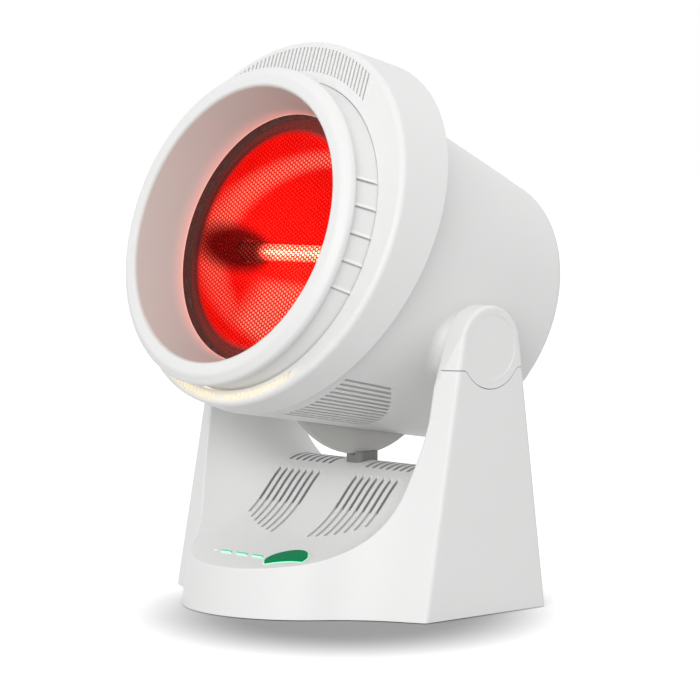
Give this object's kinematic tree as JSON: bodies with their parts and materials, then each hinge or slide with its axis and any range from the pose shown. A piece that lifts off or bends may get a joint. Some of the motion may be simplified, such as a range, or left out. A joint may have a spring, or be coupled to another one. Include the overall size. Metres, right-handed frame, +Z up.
{
  "type": "infrared heat therapy lamp",
  "caption": "Tabletop infrared heat lamp: a round red-glass lamp head with a cooling fan, tilting between the two arms of a moulded base with a push button and lit level windows.",
  "frame": {"origin": "on the table under the middle of the lamp's box, feet at z = 0", "axes": "+Z up, front (the glass and the controls) towards -Y, +X to the right seen from the front; the tilt hinge runs along X"},
  "size_m": [0.201, 0.2146, 0.2954],
  "materials": {
    "white_shell": "fine satin moulded plastic",
    "dark_plastic": "matt",
    "grey_plastic": "matt",
    "soft_rubber": "matt",
    "zinc_steel": "zinc plated",
    "circuit_board": "solder resist",
    "electronics": "moulded resin",
    "window_mint": "clear tinted, lit from behind",
    "led_white": "gloss",
    "button_green": "gloss",
    "red_glass": "polished, dotted print on the rear",
    "polished_aluminium": "polished",
    "quartz": "polished",
    "hot_wire": "oxidised",
    "white_ceramic": "matt",
    "acetal": "smooth"
  },
  "bodies": {
    "base": {"base_housing": "white_shell", "left_arm_cap": "white_shell", "right_arm_cap": "white_shell", "base_plate": "white_shell", "rubber_feet": "soft_rubber", "base_screws": "zinc_steel", "bracket_screws": "zinc_steel", "left_arm_bracket": "zinc_steel", "right_arm_bracket": "zinc_steel", "guide_block": "grey_plastic", "guide_screw": "zinc_steel", "control_board": "circuit_board", "led_lamps": "led_white", "led_windows": "window_mint", "tact_switch": "electronics", "button_spring": "zinc_steel", "power_board": "circuit_board", "power_parts": "electronics", "cord_gland": "dark_plastic", "pivot_bushes": "acetal"},
    "button": {"power_button": "button_green"},
    "head": {"barrel_housing": "white_shell", "collar": "white_shell", "cover_screws": "zinc_steel", "fan_frame": "dark_plastic", "fan_motor": "electronics", "fan_screws": "zinc_steel", "friction_washers": "soft_rubber", "front_ring": "white_shell", "glass_gasket": "soft_rubber", "glass_plate": "red_glass", "guide_fin": "grey_plastic", "heat_shield": "polished_aluminium", "lamp_caps": "white_ceramic", "lamp_element": "hot_wire", "lamp_holders": "white_ceramic", "lamp_tube": "quartz", "left_pivot_hub": "zinc_steel", "pivot_rings": "zinc_steel", "rear_cover": "white_shell", "reflector": "polished_aluminium", "retaining_ring": "zinc_steel", "right_pivot_hub": "zinc_steel", "terminal_block": "white_ceramic", "thermal_cutout": "electronics"},
    "fan": {"fan_rotor": "dark_plastic"}
  },
  "joints": [
    {"name": "head_tilt", "type": "hinge", "parent": "base", "child": "head", "pos_m": [0, 0.0085, 0.138], "axis": [1, 0, 0], "range_deg": [-14, 34]},
    {"name": "button_press", "type": "slide", "parent": "base", "child": "button", "axis": [0, 0, -1], "range_m": [0, 0.001], "stiffness_N_per_m": 400, "deforming": ["button_spring"]},
    {"name": "fan_spin", "type": "hinge", "parent": "head", "child": "fan", "pos_m": [0, 0.08414, 0.15124], "axis": [0, -0.9409, 0.3387], "continuous": true}
  ]
}
